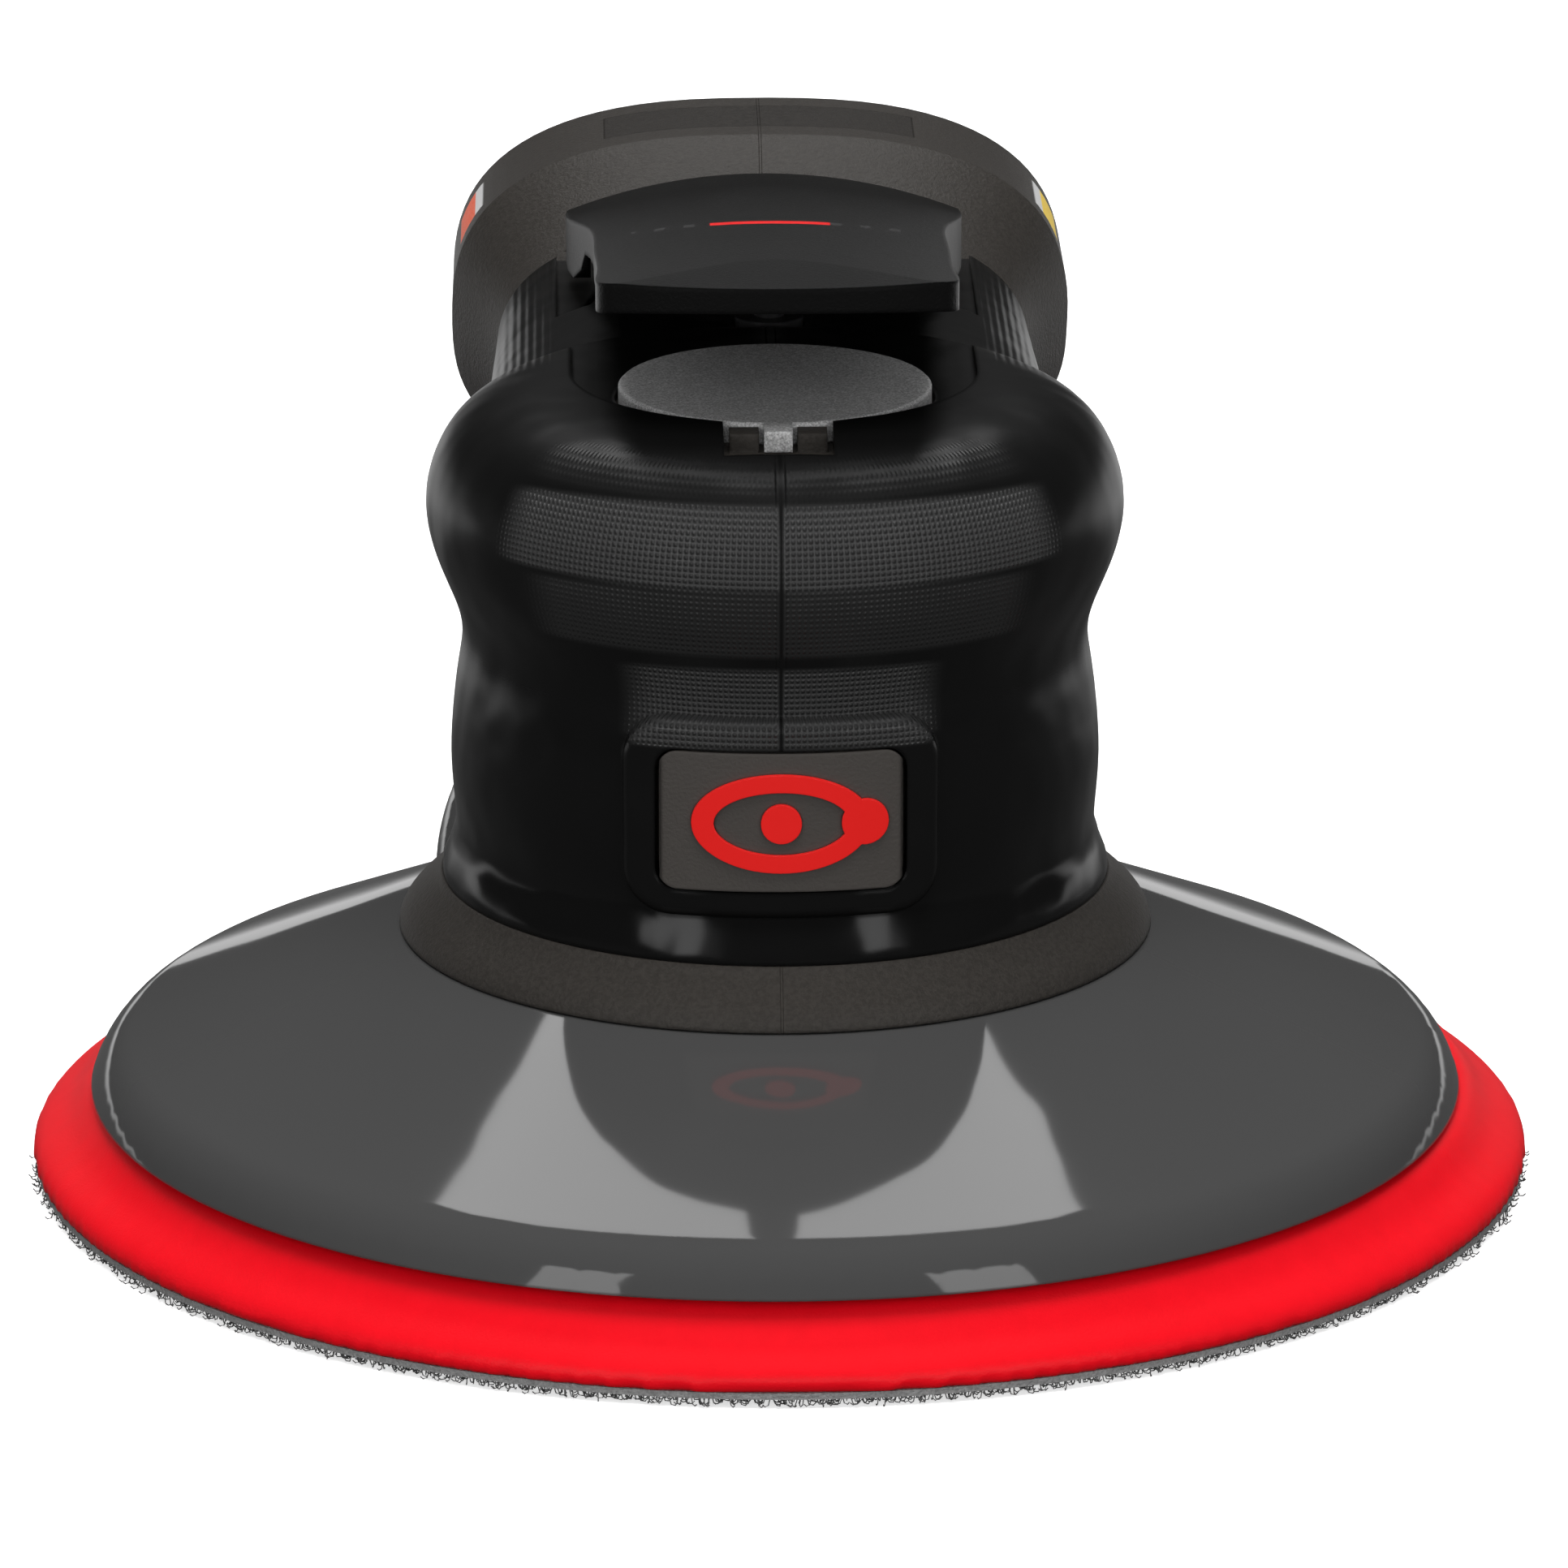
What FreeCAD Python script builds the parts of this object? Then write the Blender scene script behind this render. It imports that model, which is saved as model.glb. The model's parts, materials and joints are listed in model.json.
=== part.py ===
"""Air-driven dual action (random orbital) tool with a 150 mm hook pad, a dust shroud and a vacuum spigot.

Millimetres, +Z up.  The origin is on the motor axis, in the plane where the hook face rests.  The tool's
front faces -Y and its handle runs back along +Y.  Every function below builds one piece, or one small
family of pieces, and hands it to save(), which writes parts/NODE.step.

How it works: air enters at the inlet bushing, passes the lever's poppet valve and drives a five-vane
rotor.  The rotor's shaft carries a balancer whose bearing pocket sits off the motor axis by half the
orbit, so that the pad orbits, and the pad's spindle is free to turn in that pocket.
"""

import FreeCAD, Part
import math
import os

from FreeCAD import Vector

# --- driving dimensions -------------------------------------------------------------------------------
ORBIT = 4.8                      # orbit diameter of the pad
ECCENTRIC = ORBIT / 2.0          # pad axis to motor axis
ECCENTRIC_ANGLE = 78.0           # where the pad axis stands at rest, degrees from +X
PAD_X = ECCENTRIC * math.cos(math.radians(ECCENTRIC_ANGLE))
PAD_Y = ECCENTRIC * math.sin(math.radians(ECCENTRIC_ANGLE))
RUN_GAP = 0.05                   # radial clearance of a running fit
SKIN_GAP = 0.06                  # clearance between a cover and what it covers

# pad
PAD_R = 76.0
HOOK_H = 1.4
FOAM_TOP = 8.8
FOAM_TOP_R = 68.8
PLATE_R = 56.0
PLATE_TOP = 10.6
PAD_BOSS_TOP = 12.4
STUD_R = 3.97                    # 5/16-24 thread, major radius
DUST_RINGS = ((8, 30.0, 4.0), (16, 50.0, 2.5))   # count, pitch radius, hole radius

# spindle and balancer
SPINDLE_R = 6.0
SPINDLE_BEARING = (6.0, 12.0, 6.0)               # bore radius, outer radius, width
SPINDLE_BEARING_Z = (15.6, 22.4)
BALANCER_BOTTOM = 14.2
BALANCER_TOP = 33.0
WEIGHT_R = 29.5

# motor
SHAFT_R = 5.0
SHAFT_TOP_R = 4.5
LOWER_BEARING = (5.0, 13.0, 8.0)
LOWER_BEARING_Z = 34.5
UPPER_BEARING = (4.5, 12.0, 7.0)
UPPER_BEARING_Z = 64.7
MOTOR_R = 22.0
MOTOR_BORE_R = 22.05
LOWER_PLATE_Z = (33.6, 44.5)
CYLINDER_Z = (44.5, 62.5)
UPPER_PLATE_Z = (62.5, 72.0)
CYLINDER_BORE_R = 18.0
ROTOR_R = 16.2
CYLINDER_OFFSET = CYLINDER_BORE_R - ROTOR_R - RUN_GAP
VANES = 5
VANE_T = 1.6
LOCK_RING_Z = (28.4, 33.6)
LOCK_RING_R = 24.4

# housing
HEAD_R = 28.0
HEAD_TOP = 79.3
HEAD_BOTTOM = 24.2
CROWN_INSIDE = 73.0
COLLAR_R = 37.9
COLLAR_Z = 25.9
GRIP_BOTTOM = 31.4
SPIGOT_R = 31.0
NECK_Z = 65.5
BAND_Y = (88.0, 105.0)
BACK = BAND_Y[1]                 # plane of the handle's back end
BAND = (33.1, 20.2, 18.5)        # half width, height above and depth below the handle's centre line
SECTION_POWER = 2.6              # squareness of the handle's sections
BADGE_Y, BADGE_Z = -31.8, 46.0   # back of the badge plate, its middle height
BADGE_CURVE_R, BADGE_CENTRE_Y = 40.0, 6.4
EMBLEM_PROUD, EMBLEM_SUNK = 0.4, 0.5
CAP_R = 15.6
CAP_TOP = 81.5
CAP_TAB_Y = -18.7                # front of the tab that hangs from the cap's rim
NOTCH_HALF, NOTCH_Y = 5.4, -25.4

# lever and valve
LEVER_T = 3.0
LEVER_FRONT = (-22.0, 97.2)      # Y and top height of the lip
LEVER_REAR = (70.0, 85.8)
LEVER_FRONT_HALF = 17.8
LEVER_WAIST_HALF = 17.9
LEVER_REAR_HALF = 20.6
LEVER_NOSE = ((-24.0, 96.9), (-2.6, 94.8))       # flat facet on top of the lip, as (Y, Z)
LEVER_SKIRT = (                  # side wall of the lever's rear part, as (Y, Z)
    (44.0, 84.0), (48.0, 81.0), (54.0, 78.6), (60.0, 78.0),
    (70.0, 78.4), (70.0, 81.2), (60.0, 82.6), (44.0, 84.8),
)
LEVER_ROOM = (21.8, 78.0)        # half width and rear end of the flat that the lever works over
SKIRT_ROOM = (17.2, 44.0, 74.0, 1.2)             # pockets beside it: inner x, Y from, Y to, extra depth
PIVOT_Y, PIVOT_Z = 65.0, 79.5
PIVOT_R = 1.5
VALVE_Y = 33.0
VALVE_BORE_R = 6.0
VALVE_SEAT_Z = (66.0, 68.4)
STEM_R = 1.6

# back of the handle
INLET_Z = 70.0
DIAL_Z = 52.6
NPT_MINOR_R = 5.55               # 1/4-18 NPT tapping radius

# shroud and vacuum duct
SHROUD_T = 2.0
SHROUD_TOP = (38.2, 25.7)        # radius, height
SHROUD_BEND = (66.7, 13.7)
SHROUD_RIM = (69.2, 9.3)
DUCT_END_Y = 94.0
MOUTH_Y = DUCT_END_Y - 10.0      # the duct is a true cylinder from here to its end
MOUTH_STEP = 0.8
DUCT_Z = 27.6
DUCT_R = 16.8
SPIGOT_OUT_R = 14.0
SPIGOT_END_Y = 136.0

OUT = "parts"


# --- small makers -------------------------------------------------------------------------------------
def save(name, *solids):
    """Writes one node. Several solids make a group of separate pieces in one file."""
    shape = solids[0] if len(solids) == 1 else Part.makeCompound(list(solids))
    shape.exportStep(os.path.join(OUT, name + ".step"))


def disc(r, z0, z1, x=0.0, y=0.0):
    """Upright cylinder."""
    return Part.makeCylinder(r, z1 - z0, Vector(x, y, z0))


def ring(r_out, r_in, z0, z1, x=0.0, y=0.0):
    return disc(r_out, z0, z1, x, y).cut(disc(r_in, z0 - 1, z1 + 1, x, y))


def rod_y(r, y0, y1, z, x=0.0):
    """Cylinder lying along Y."""
    return Part.makeCylinder(r, y1 - y0, Vector(x, y0, z), Vector(0, 1, 0))


def rod_x(r, x0, x1, y, z):
    """Cylinder lying along X."""
    return Part.makeCylinder(r, x1 - x0, Vector(x0, y, z), Vector(1, 0, 0))


def block(x0, x1, y0, y1, z0, z1):
    return Part.makeBox(x1 - x0, y1 - y0, z1 - z0, Vector(x0, y0, z0))


def turned(edges_or_points, x=0.0, y=0.0):
    """Solid turned about an upright axis, from a closed outline of (radius, height) points or of edges."""
    if isinstance(edges_or_points[0], tuple):
        points = [Vector(r, 0, z) for r, z in edges_or_points]
        wire = Part.makePolygon(points + [points[0]])
    else:
        wire = Part.Wire(edges_or_points)
    solid = Part.Face(wire).revolve(Vector(0, 0, 0), Vector(0, 0, 1), 360)
    solid.translate(Vector(x, y, 0))
    return solid


def line(a, b):
    """Straight edge of an outline, from (radius, height) to (radius, height)."""
    return Part.LineSegment(Vector(a[0], 0, a[1]), Vector(b[0], 0, b[1])).toShape()


def smooth_edge(points):
    """Spline edge through points in space."""
    spline = Part.BSplineCurve()
    spline.interpolate(points)
    return spline.toShape()


def curve(points):
    """Smooth edge of an outline through (radius, height) points."""
    return smooth_edge([Vector(r, 0, z) for r, z in points])


def side_slab(outline, x0, x1):
    """Slab between two upright planes, from its side view as (Y, Z) points."""
    points = [Vector(x0, y, z) for y, z in outline]
    return Part.Face(Part.makePolygon(points + [points[0]])).extrude(Vector(x1 - x0, 0, 0))


def section(half_width, up, down, y, centre_z, power=SECTION_POWER, count=32):
    """Upright closed superellipse at depth y, with its own height above and below the centre line."""
    points = []
    for i in range(count):
        t = 2 * math.pi * i / count
        c, s = math.cos(t), math.sin(t)
        reach = up if s > 0 else down
        x = half_width * math.copysign(abs(c) ** (2 / power), c)
        z = centre_z + reach * math.copysign(abs(s) ** (2 / power), s)
        points.append(Vector(x, y, z))
    spline = Part.BSplineCurve()
    spline.interpolate(points, PeriodicFlag=True)
    return Part.Wire(spline.toShape())


def loft(*sections):
    return Part.makeLoft([section(*s) for s in sections], True, False)


def around(shape, count, x=0.0, y=0.0, start=0.0):
    """Copies of a shape, evenly turned about an upright axis."""
    copies = []
    for i in range(count):
        copy = shape.copy()
        copy.rotate(Vector(x, y, 0), Vector(0, 0, 1), start + 360.0 * i / count)
        copies.append(copy)
    return copies


def rounded_plate(half_x, half_z, corner, y0, y1, z):
    """Upright plate with rounded corners, its thickness along Y."""
    plate = block(-half_x, half_x, y0, y1, z - half_z, z + half_z)
    upright = [e for e in plate.Edges if abs(e.tangentAt(e.FirstParameter).y) > 0.99]
    return plate.makeFillet(corner, upright)


# --- pad ----------------------------------------------------------------------------------------------
def dust_holes(z0, z1):
    holes = []
    for count, pitch, r in DUST_RINGS:
        holes += around(disc(r, z0, z1, PAD_X + pitch, PAD_Y), count, PAD_X, PAD_Y, 180.0 / count)
    return Part.makeCompound(holes)


def make_pad():
    centre_r = 9.0
    holes = dust_holes(-1, 20)
    hook = ring(PAD_R - 0.6, centre_r, 0, HOOK_H, PAD_X, PAD_Y).cut(holes)
    save("hook_face", hook)

    foam = turned([
        line((centre_r, HOOK_H), (PAD_R - 0.3, HOOK_H)),
        curve([(PAD_R - 0.3, HOOK_H), (PAD_R - 0.2, HOOK_H + 0.7), (PAD_R - 4.2, FOAM_TOP - 2.8),
               (FOAM_TOP_R + 0.8, FOAM_TOP - 0.4), (FOAM_TOP_R - 0.8, FOAM_TOP)]),
        line((FOAM_TOP_R - 0.8, FOAM_TOP), (centre_r, FOAM_TOP)),
        line((centre_r, FOAM_TOP), (centre_r, HOOK_H)),
    ], PAD_X, PAD_Y).cut(holes)
    save("pad_foam", foam)

    plate = disc(PLATE_R, FOAM_TOP, PLATE_TOP, PAD_X, PAD_Y)
    plate = plate.fuse(disc(13.0, PLATE_TOP - 0.1, PAD_BOSS_TOP, PAD_X, PAD_Y))
    rib = block(PAD_X + 12, PAD_X + PLATE_R - 4, PAD_Y - 1, PAD_Y + 1, PLATE_TOP - 0.2, PLATE_TOP + 1.2)
    for r in around(rib, 8, PAD_X, PAD_Y):
        plate = plate.fuse(r)
    plate = plate.cut(holes).cut(disc(STUD_R + 0.03, 0, 20, PAD_X, PAD_Y))
    save("pad_backing_plate", plate.removeSplitter())

    stud = disc(STUD_R, 6.0, 20.8, PAD_X, PAD_Y).fuse(disc(8.5, 6.0, FOAM_TOP, PAD_X, PAD_Y))
    hexagon = Part.makePolygon([Vector(PAD_X + 3.2 * math.cos(math.radians(60 * i)),
                                       PAD_Y + 3.2 * math.sin(math.radians(60 * i)), 5) for i in range(7)])
    socket = Part.Face(hexagon).extrude(Vector(0, 0, 4.0))
    save("pad_stud", stud.cut(socket))


# --- ball bearings ------------------------------------------------------------------------------------
def bearing(size, z, x, y):
    """Inner race, outer race and balls of one deep-groove bearing."""
    bore, outer, width = size
    gap = outer - bore
    pitch = (bore + outer) / 2
    ball_r = gap * 0.24
    groove = Part.makeTorus(pitch, ball_r + 0.04, Vector(x, y, z + width / 2))
    inner = ring(bore + gap * 0.32, bore, z, z + width, x, y).cut(groove)
    outer_race = ring(outer, outer - gap * 0.32, z, z + width, x, y).cut(groove)
    ball = Part.makeSphere(ball_r, Vector(x + pitch, y, z + width / 2))
    return inner, outer_race, around(ball, 8, x, y)


def make_bearings():
    pairs = [bearing(SPINDLE_BEARING, z, PAD_X, PAD_Y) for z in SPINDLE_BEARING_Z]
    save("spindle_bearing_inner_races", *[p[0] for p in pairs])
    save("spindle_bearing_outer_races", *[p[1] for p in pairs])
    save("spindle_bearing_balls", *[b for p in pairs for b in p[2]])

    pairs = [bearing(LOWER_BEARING, LOWER_BEARING_Z, 0, 0), bearing(UPPER_BEARING, UPPER_BEARING_Z, 0, 0)]
    save("shaft_bearing_inner_races", *[p[0] for p in pairs])
    save("shaft_bearing_outer_races", *[p[1] for p in pairs])
    save("shaft_bearing_balls", *[b for p in pairs for b in p[2]])


# --- spindle and balancer -----------------------------------------------------------------------------
SPINDLE_SHOULDER = 15.0
SPINDLE_TOP = SPINDLE_BEARING_Z[1] + SPINDLE_BEARING[2]


def make_spindle():
    flange_r, across_flats = 10.5, 19.0
    spindle = disc(flange_r, PAD_BOSS_TOP, SPINDLE_SHOULDER, PAD_X, PAD_Y)
    for side in (-1, 1):
        x = PAD_X + side * (across_flats / 2 + 2)
        flat = block(x - 2, x + 2, PAD_Y - 12, PAD_Y + 12, PAD_BOSS_TOP - 1, SPINDLE_SHOULDER - 0.6)
        spindle = spindle.cut(flat)
    spindle = spindle.fuse(disc(7.4, SPINDLE_SHOULDER - 0.1, SPINDLE_BEARING_Z[0], PAD_X, PAD_Y))
    spindle = spindle.fuse(disc(SPINDLE_R, SPINDLE_SHOULDER, SPINDLE_TOP, PAD_X, PAD_Y))
    spindle = spindle.cut(disc(STUD_R + 0.03, PAD_BOSS_TOP - 1, 21.4, PAD_X, PAD_Y))
    spindle = spindle.cut(disc(2.0, 23.0, SPINDLE_TOP + 1, PAD_X, PAD_Y))
    save("spindle", spindle.removeSplitter())

    gap_z = SPINDLE_BEARING_Z[0] + SPINDLE_BEARING[2]
    save("bearing_spacer", ring(7.6, SPINDLE_R, gap_z, SPINDLE_BEARING_Z[1], PAD_X, PAD_Y))
    save("spindle_washer", ring(7.4, 2.05, SPINDLE_TOP, SPINDLE_TOP + 1.0, PAD_X, PAD_Y))
    head = disc(3.8, SPINDLE_TOP + 1.0, SPINDLE_TOP + 3.0, PAD_X, PAD_Y)
    screw = head.fuse(disc(1.95, 23.6, SPINDLE_TOP + 1.0, PAD_X, PAD_Y))
    save("spindle_screw", screw.cut(disc(1.5, SPINDLE_TOP + 1.8, SPINDLE_TOP + 4, PAD_X, PAD_Y)))


def make_balancer():
    pocket_r = SPINDLE_BEARING[1]
    clip_z = (14.7, 15.5)
    cup = disc(15.0, BALANCER_BOTTOM, BALANCER_TOP, PAD_X, PAD_Y)
    half = block(-40, 40, -40, 0, 0, 40)
    half.rotate(Vector(0, 0, 0), Vector(0, 0, 1), ECCENTRIC_ANGLE - 90)
    weight = disc(WEIGHT_R, 15.4, 23.6).fuse(disc(24.0, 23.6, 27.6)).common(half)
    body = cup.fuse(weight).fuse(disc(7.0, BALANCER_TOP - 0.1, LOWER_BEARING_Z))
    body = body.fuse(disc(SHAFT_R, LOWER_BEARING_Z - 0.1, UPPER_PLATE_Z[0] + 1.6))
    body = body.fuse(disc(SHAFT_TOP_R, UPPER_PLATE_Z[0], 73.0 - 0.4))
    body = body.cut(disc(pocket_r, BALANCER_BOTTOM - 1, SPINDLE_TOP + 0.2, PAD_X, PAD_Y))
    body = body.cut(disc(9.0, SPINDLE_TOP, SPINDLE_TOP + 3.4, PAD_X, PAD_Y))
    body = body.cut(disc(pocket_r + 0.7, clip_z[0], clip_z[1], PAD_X, PAD_Y))
    body = body.cut(block(SHAFT_R - 1.2, SHAFT_R + 1, -1.0, 1.0, 48.0, 58.0))
    body = body.cut(ring(SHAFT_TOP_R + 1, SHAFT_TOP_R - 0.5, 71.75, 72.35))
    save("shaft_balancer", body.removeSplitter())

    clip = ring(pocket_r + 0.65, pocket_r - 1.3, clip_z[0] + 0.02, clip_z[1] - 0.02, PAD_X, PAD_Y)
    gap = block(PAD_X + 9, PAD_X + 14, PAD_Y - 3, PAD_Y + 3, 14, 16)
    save("bearing_retaining_ring", clip.cut(gap))
    save("rotor_key", block(SHAFT_R - 1.15, SHAFT_R + 0.95, -0.97, 0.97, 48.05, 57.95))
    top_clip = ring(6.4, SHAFT_TOP_R - 0.45, 71.78, 72.32).cut(block(-1.2, 1.2, 0, 8, 71, 73))
    save("shaft_retaining_ring", top_clip)


# --- vane motor ---------------------------------------------------------------------------------------
def make_motor():
    dowel_x = -19.2
    dowel_hole = disc(1.0, 38, 68, dowel_x, 0)

    lower = disc(MOTOR_R, *LOWER_PLATE_Z)
    lower = lower.cut(disc(LOWER_BEARING[1], LOWER_PLATE_Z[0] - 1, LOWER_BEARING_Z + LOWER_BEARING[2]))
    lower = lower.cut(disc(SHAFT_R + 1.2, 30, 50)).cut(dowel_hole)
    save("lower_endplate", lower)

    slots = [block(14, 24, -1.1, 1.1, 48.0 + 4.0 * i, 50.4 + 4.0 * i) for i in range(3)]
    ports = []
    for angle in (40, 55, 305, 320):
        for s in slots:
            port = s.copy()
            port.rotate(Vector(0, 0, 0), Vector(0, 0, 1), angle)
            ports.append(port)
    cylinder = disc(MOTOR_R, *CYLINDER_Z)
    cylinder = cylinder.cut(disc(CYLINDER_BORE_R, 40, 66, CYLINDER_OFFSET, 0))
    cylinder = cylinder.cut(dowel_hole).cut(Part.makeCompound(ports))
    save("motor_cylinder", cylinder)

    upper = disc(MOTOR_R, *UPPER_PLATE_Z)
    upper = upper.cut(disc(UPPER_BEARING[1], UPPER_BEARING_Z - 0.1, 75)).cut(disc(SHAFT_R + 1.2, 60, 68))
    upper = upper.cut(Part.makeTorus(MOTOR_R - 0.55, 0.8, Vector(0, 0, 69.0))).cut(dowel_hole)
    save("upper_endplate", upper)
    save("motor_o_ring", Part.makeTorus(MOTOR_R - 0.7, 0.6, Vector(0, 0, 69.0)))
    save("motor_dowel", disc(0.98, 38.1, 67.9, dowel_x, 0))

    z0, z1 = CYLINDER_Z[0] + 0.1, CYLINDER_Z[1] - 0.1
    slot = block(ROTOR_R - 7.2, ROTOR_R + 2, -VANE_T / 2 - 0.05, VANE_T / 2 + 0.05, z0 - 1, z1 + 1)
    rotor = disc(ROTOR_R, z0, z1).cut(disc(SHAFT_R, 40, 66))
    rotor = rotor.cut(Part.makeCompound(around(slot, VANES)))
    rotor = rotor.cut(block(0, SHAFT_R + 1.0, -1.0, 1.0, 40, 66))
    save("rotor", rotor)
    vane = block(ROTOR_R - 7.0, ROTOR_R - 0.05, -VANE_T / 2, VANE_T / 2, z0 + 0.05, z1 - 0.05)
    for number, copy in enumerate(around(vane, VANES), start=1):
        save(f"vane_{number}", copy)

    lock = ring(LOCK_RING_R, 19.0, *LOCK_RING_Z)
    notch = block(20.5, 30, -1.8, 1.8, LOCK_RING_Z[0] - 1, LOCK_RING_Z[0] + 2.4)
    save("lock_ring", lock.cut(Part.makeCompound(around(notch, 6))))


# --- housing ------------------------------------------------------------------------------------------
BELL = (                         # handle under the rubber and its flare: half width, above, below, Y
    (24.5, 11.8, 14.5, 8.0),
    (26.0, 12.0, 15.0, 36.0),
    (26.4, 12.6, 15.3, 56.0),
    (27.0, 13.0, 15.8, 70.0),
    (29.8, 16.6, 16.8, 80.0),
    (BAND[0], BAND[1], BAND[2], BAND_Y[0]),
)


def handle_shape():
    """Neck and flared back end of the handle, as one solid."""
    sections = [(w, up, down, y, NECK_Z) for w, up, down, y in BELL]
    band = Part.Face(section(BAND[0], BAND[1], BAND[2], BAND_Y[0], NECK_Z))
    return loft(*sections).fuse(band.extrude(Vector(0, BAND_Y[1] - BAND_Y[0], 0)))


def head_shape():
    """Motor cup with its collar and the spigot that carries the shroud."""
    return turned([
        line((0, HEAD_BOTTOM), (SPIGOT_R, HEAD_BOTTOM)),
        line((SPIGOT_R, HEAD_BOTTOM), (SPIGOT_R, COLLAR_Z)),
        line((SPIGOT_R, COLLAR_Z), (COLLAR_R, COLLAR_Z)),
        curve([(COLLAR_R, COLLAR_Z), (COLLAR_R - 0.4, COLLAR_Z + 1.2), (COLLAR_R - 2.4, COLLAR_Z + 3.4),
               (33.6, GRIP_BOTTOM - 0.1)]),
        line((33.6, GRIP_BOTTOM - 0.1), (HEAD_R, GRIP_BOTTOM - 0.1)),
        line((HEAD_R, GRIP_BOTTOM - 0.1), (HEAD_R, 70.0)),
        curve([(HEAD_R, 70.0), (HEAD_R - 1.0, 74.4), (HEAD_R - 4.4, 78.0), (20.0, HEAD_TOP)]),
        line((20.0, HEAD_TOP), (0, HEAD_TOP)),
        line((0, HEAD_TOP), (0, HEAD_BOTTOM)),
    ])


def valve_cut():
    seat_top = VALVE_SEAT_Z[1]
    cut = disc(VALVE_BORE_R, 40, seat_top, 0, VALVE_Y)
    cut = cut.fuse(disc(STEM_R + 0.6, seat_top - 1, BUSHING_Z[0] + 1, 0, VALVE_Y))
    cut = cut.fuse(disc(BUSHING_R, BUSHING_Z[0], 90.0, 0, VALVE_Y))
    cut = cut.fuse(rod_y(2.0, 20.0, VALVE_Y, seat_top + 2.1))
    feed = Part.makeCylinder(4.0, 53.0, Vector(0, VALVE_Y, 57.0), Vector(0, 51.0, 13.0))
    return cut.fuse(feed)


def bell_cavity():
    """Muffler room in the handle's flared end, with a boss left standing round the inlet and the dial."""
    wall = 2.6
    outer = Part.Face(section(BAND[0] - wall, BAND[1] - wall, BAND[2] - wall, BACK - 17.0, NECK_Z))
    room = outer.extrude(Vector(0, 18.0, 0))
    lip = Part.Face(section(BAND[0] - 1.5, BAND[1] - 1.5, BAND[2] - 1.5, BACK - 4.0, NECK_Z))
    boss = rod_y(11.0, 70, BACK - 4, INLET_Z).fuse(rod_y(6.8, 70, BACK - 4, DIAL_Z))
    for x, z in COVER_SCREWS:
        boss = boss.fuse(rod_y(3.4, 70, BACK - 4, z, x))
    room = room.cut(boss).fuse(lip.extrude(Vector(0, 6.0, 0)))
    return room


COVER_SCREWS = ((-24.0, 75.0), (24.0, 75.0), (-20.0, 54.6), (20.0, 54.6))


def skirt_pockets():
    """Room for the lever's side walls when it is pressed."""
    inner, y0, y1, depth = SKIRT_ROOM
    pocket = block(inner, LEVER_ROOM[0], y0, y1, NECK_FLOOR - depth, 100.0)
    return pocket, pocket.mirror(Vector(0, 0, 0), Vector(1, 0, 0))


def make_housing():
    body = head_shape().fuse(handle_shape())
    half, rear = LEVER_ROOM
    body = body.cut(block(-half, half, 20.0, rear - 2.0, NECK_FLOOR, 100.0))
    body = body.cut(block(-16.4, 16.4, PIVOT_Y - 4.2, PIVOT_Y + 4.2, PIVOT_Z - 3.6, 100.0))
    for pocket in skirt_pockets():
        body = body.cut(pocket)
    pivot_boss = block(-12.0, 12.0, PIVOT_Y - 4.3, PIVOT_Y + 4.3, 70, PIVOT_Z)
    body = body.fuse(pivot_boss.fuse(rod_x(2.3, -12.0, 12.0, PIVOT_Y, PIVOT_Z)))
    post = block(1.9, NOTCH_HALF - 0.6, CAP_TAB_Y + 0.2, -CAP_R - 0.2, HEAD_TOP - 3.0, CAP_TOP - 0.3)
    body = body.fuse(post).fuse(post.mirror(Vector(0, 0, 0), Vector(1, 0, 0)))
    badge_seat = rounded_plate(11.9, 6.8, 2.0, BADGE_Y, -26.0, BADGE_Z)
    body = body.fuse(badge_seat)

    body = body.cut(disc(LOCK_RING_R + 0.05, 20, LOCK_RING_Z[1]))
    body = body.cut(disc(MOTOR_BORE_R, 20, CROWN_INSIDE))
    body = body.cut(valve_cut())
    body = body.cut(rod_x(PIVOT_R, -30, 30, PIVOT_Y, PIVOT_Z))
    body = body.cut(bell_cavity())
    body = body.cut(rod_y(8.0, BACK - 21, BACK + 3, INLET_Z))
    body = body.cut(rod_y(3.1, BACK - 35, BACK + 3, DIAL_Z))
    body = body.cut(disc(2.0, HEAD_TOP - 4, HEAD_TOP + 1))
    for x, z in COVER_SCREWS:
        body = body.cut(rod_y(1.3, BACK - 17, BACK - 3, z, x))
    body = body.cut(block(-5.1, 5.1, DUCT_END_Y - 3.1, DUCT_END_Y - 0.1, 44, 49.0))
    save("housing", body.removeSplitter())


def upright_ellipse(half_x, half_z, y0, y1, z):
    """Elliptical bar lying along Y."""
    edge = Part.Ellipse(Vector(half_x, y0, z), Vector(0, y0, z + half_z), Vector(0, y0, z)).toShape()
    return Part.Face(Part.Wire(edge)).extrude(Vector(0, y1 - y0, 0))


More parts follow.
